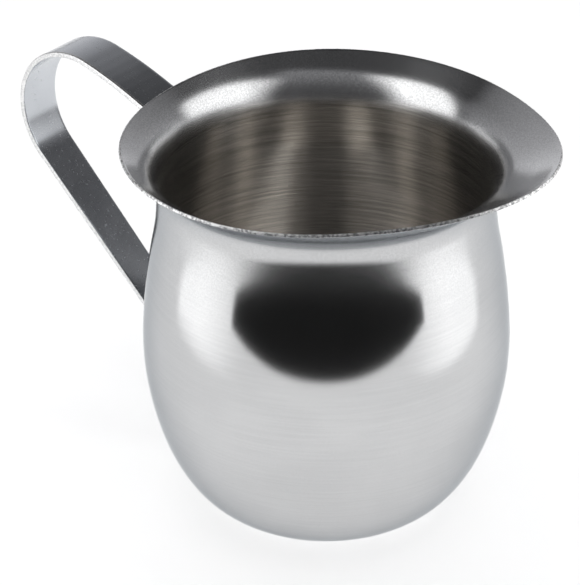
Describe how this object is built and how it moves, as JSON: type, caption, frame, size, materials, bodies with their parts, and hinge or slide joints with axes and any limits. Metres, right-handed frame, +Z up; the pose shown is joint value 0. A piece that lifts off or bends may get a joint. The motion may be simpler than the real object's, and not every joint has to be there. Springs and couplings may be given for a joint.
{
  "type": "cream jug",
  "caption": "Small free-standing cream jug: thin bell-shaped metal body with a flared rim and pouring lip, and a bent strap handle spot-welded at the neck and belly.",
  "frame": {"origin": "middle of the flat base, on the body's turning axis", "axes": "+Z up out of the mouth, +X towards the pouring lip, -X towards the handle, +Y across"},
  "size_m": [0.1062, 0.0682, 0.0712],
  "materials": {
    "body_steel": "satin stainless steel, brushed round the axis, with a polished flange and a sheared rim edge",
    "strap_steel": "cold-rolled stainless strip, fine scratches, bright sheared edges",
    "weld_steel": "dull fused steel of a spot weld"
  },
  "bodies": {
    "root": {"body": "body_steel", "strap_handle": "strap_steel", "upper_weld_top": "weld_steel", "upper_weld_bottom": "weld_steel", "lower_weld_top": "weld_steel", "lower_weld_bottom": "weld_steel"}
  },
  "joints": []
}
